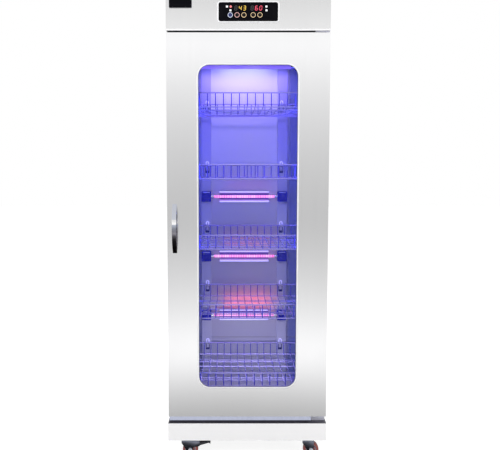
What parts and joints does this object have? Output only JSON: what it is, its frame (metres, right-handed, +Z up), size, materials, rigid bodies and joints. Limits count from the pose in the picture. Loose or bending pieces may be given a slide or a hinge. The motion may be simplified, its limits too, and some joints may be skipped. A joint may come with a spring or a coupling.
{
  "type": "dish sterilizer cabinet",
  "caption": "Upright steel dish sterilizer cabinet on castors, with a glazed hinged door, lift-off wire baskets, heating lamps and an ultraviolet lamp.",
  "frame": {"origin": "middle of the footprint, on the floor the castors stand on", "axes": "+Z up; the door faces -Y; +X is on the right of someone facing the door"},
  "size_m": [0.622, 0.55, 1.8],
  "materials": {
    "satin_steel": "vertically brushed satin stainless steel",
    "door_lining": "satin stainless steel",
    "tray_steel": "pale satin stainless steel",
    "zinc_sheet": "zinc-coated sheet",
    "liner_steel": "satin stainless steel",
    "foam": null,
    "chrome": "polished",
    "basket_wire": "bright chromed wire",
    "quartz": "glowing quartz tube",
    "uv_glass": "glowing ultraviolet tube",
    "reflector": "polished trough",
    "dark_plastic": "moulded plastic",
    "panel_glass": "black glossy panel",
    "key_metal": "bright caps with a lit ring",
    "circuit_board": "circuit board",
    "ballast": "painted case",
    "seal": "soft grey seal",
    "clear_glass": "clear pane",
    "zinc_fittings": "zinc-plated steel",
    "pedal": "dark pedal",
    "tread": "reddish-brown polyurethane tyre"
  },
  "bodies": {
    "cabinet": {"base_tray": "tray_steel", "bottom_pan": "zinc_sheet", "castor_plates": "zinc_fittings", "control_bezel": "chrome", "control_board": "circuit_board", "control_panel": "panel_glass", "cord_gland": "dark_plastic", "fascia_panel": "satin_steel", "front_frame": "liner_steel", "heater_reflectors": "reflector", "hinge_brackets": "zinc_fittings", "insulation": "foam", "lamp_holders": "dark_plastic", "liner_back": "liner_steel", "liner_ceiling": "liner_steel", "liner_floor": "liner_steel", "liner_sides": "liner_steel", "quartz_tubes": "quartz", "rear_panel": "zinc_sheet", "rear_uprights": "liner_steel", "shelf_hooks": "chrome", "side_panel_left": "satin_steel", "side_panel_right": "satin_steel", "top_cover": "satin_steel", "uv_ballast": "ballast", "uv_tube": "uv_glass"},
    "door": {"door_skin": "satin_steel", "door_inner_panel": "door_lining", "window_trim": "chrome", "door_gasket": "seal", "handle": "chrome", "door_bushes": "dark_plastic", "outer_glass": "clear_glass", "inner_glass": "clear_glass"},
    "basket_1": {"basket_1": "basket_wire"},
    "basket_2": {"basket_2": "basket_wire"},
    "basket_3": {"basket_3": "basket_wire"},
    "basket_4": {"basket_4": "basket_wire"},
    "basket_5": {"basket_5": "basket_wire"},
    "key_1": {"button_1": "key_metal"},
    "key_2": {"button_2": "key_metal"},
    "key_3": {"button_3": "key_metal"},
    "key_4": {"button_4": "key_metal"},
    "key_5": {"button_5": "key_metal"},
    "fork_front_left": {"castor_fork_front_left": "zinc_fittings"},
    "wheel_front_left": {"castor_wheel_front_left": "tread"},
    "pedal_front_left": {"brake_pedal_front_left": "pedal"},
    "fork_front_right": {"castor_fork_front_right": "zinc_fittings"},
    "wheel_front_right": {"castor_wheel_front_right": "tread"},
    "fork_rear_left": {"castor_fork_rear_left": "zinc_fittings"},
    "wheel_rear_left": {"castor_wheel_rear_left": "tread"},
    "fork_rear_right": {"castor_fork_rear_right": "zinc_fittings"},
    "wheel_rear_right": {"castor_wheel_rear_right": "tread"},
    "pedal_rear_right": {"brake_pedal_rear_right": "pedal"}
  },
  "joints": [
    {"name": "basket_lift_1", "type": "slide", "parent": "cabinet", "child": "basket_1", "axis": [0, 0, 1], "range_m": [0, 0.022]},
    {"name": "basket_lift_2", "type": "slide", "parent": "cabinet", "child": "basket_2", "axis": [0, 0, 1], "range_m": [0, 0.022]},
    {"name": "basket_lift_3", "type": "slide", "parent": "cabinet", "child": "basket_3", "axis": [0, 0, 1], "range_m": [0, 0.022]},
    {"name": "basket_lift_4", "type": "slide", "parent": "cabinet", "child": "basket_4", "axis": [0, 0, 1], "range_m": [0, 0.022]},
    {"name": "basket_lift_5", "type": "slide", "parent": "cabinet", "child": "basket_5", "axis": [0, 0, 1], "range_m": [0, 0.022]},
    {"name": "door_hinge", "type": "hinge", "parent": "cabinet", "child": "door", "pos_m": [0.297, -0.227, 0.92], "axis": [0, 0, 1], "range_deg": [0, 120]},
    {"name": "foot_brake_front_left", "type": "hinge", "parent": "fork_front_left", "child": "pedal_front_left", "pos_m": [-0.195, -0.203, 0.054], "axis": [0, 1, 0], "range_deg": [0, 8]},
    {"name": "foot_brake_rear_right", "type": "hinge", "parent": "fork_rear_right", "child": "pedal_rear_right", "pos_m": [0.195, 0.225, 0.054], "axis": [0, -1, 0], "range_deg": [0, 8]},
    {"name": "key_press_1", "type": "slide", "parent": "cabinet", "child": "key_1", "axis": [0, 1, 0], "range_m": [0, 0.0012], "stiffness_N_per_m": 400},
    {"name": "key_press_2", "type": "slide", "parent": "cabinet", "child": "key_2", "axis": [0, 1, 0], "range_m": [0, 0.0012], "stiffness_N_per_m": 400},
    {"name": "key_press_3", "type": "slide", "parent": "cabinet", "child": "key_3", "axis": [0, 1, 0], "range_m": [0, 0.0012], "stiffness_N_per_m": 400},
    {"name": "key_press_4", "type": "slide", "parent": "cabinet", "child": "key_4", "axis": [0, 1, 0], "range_m": [0, 0.0012], "stiffness_N_per_m": 400},
    {"name": "key_press_5", "type": "slide", "parent": "cabinet", "child": "key_5", "axis": [0, 1, 0], "range_m": [0, 0.0012], "stiffness_N_per_m": 400},
    {"name": "swivel_front_left", "type": "hinge", "parent": "cabinet", "child": "fork_front_left", "pos_m": [-0.241, -0.203, 0.078], "axis": [0, 0, 1], "continuous": true},
    {"name": "swivel_front_right", "type": "hinge", "parent": "cabinet", "child": "fork_front_right", "pos_m": [0.241, -0.203, 0.078], "axis": [0, 0, 1], "continuous": true},
    {"name": "swivel_rear_left", "type": "hinge", "parent": "cabinet", "child": "fork_rear_left", "pos_m": [-0.241, 0.225, 0.078], "axis": [0, 0, 1], "continuous": true},
    {"name": "swivel_rear_right", "type": "hinge", "parent": "cabinet", "child": "fork_rear_right", "pos_m": [0.241, 0.225, 0.078], "axis": [0, 0, 1], "continuous": true},
    {"name": "wheel_front_left", "type": "hinge", "parent": "fork_front_left", "child": "wheel_front_left", "pos_m": [-0.226, -0.203, 0.031], "axis": [0, 1, 0], "continuous": true},
    {"name": "wheel_front_right", "type": "hinge", "parent": "fork_front_right", "child": "wheel_front_right", "pos_m": [0.256, -0.203, 0.031], "axis": [0, 1, 0], "continuous": true},
    {"name": "wheel_rear_left", "type": "hinge", "parent": "fork_rear_left", "child": "wheel_rear_left", "pos_m": [-0.226, 0.225, 0.031], "axis": [0, 1, 0], "continuous": true},
    {"name": "wheel_rear_right", "type": "hinge", "parent": "fork_rear_right", "child": "wheel_rear_right", "pos_m": [0.226, 0.225, 0.031], "axis": [0, 1, 0], "continuous": true}
  ]
}
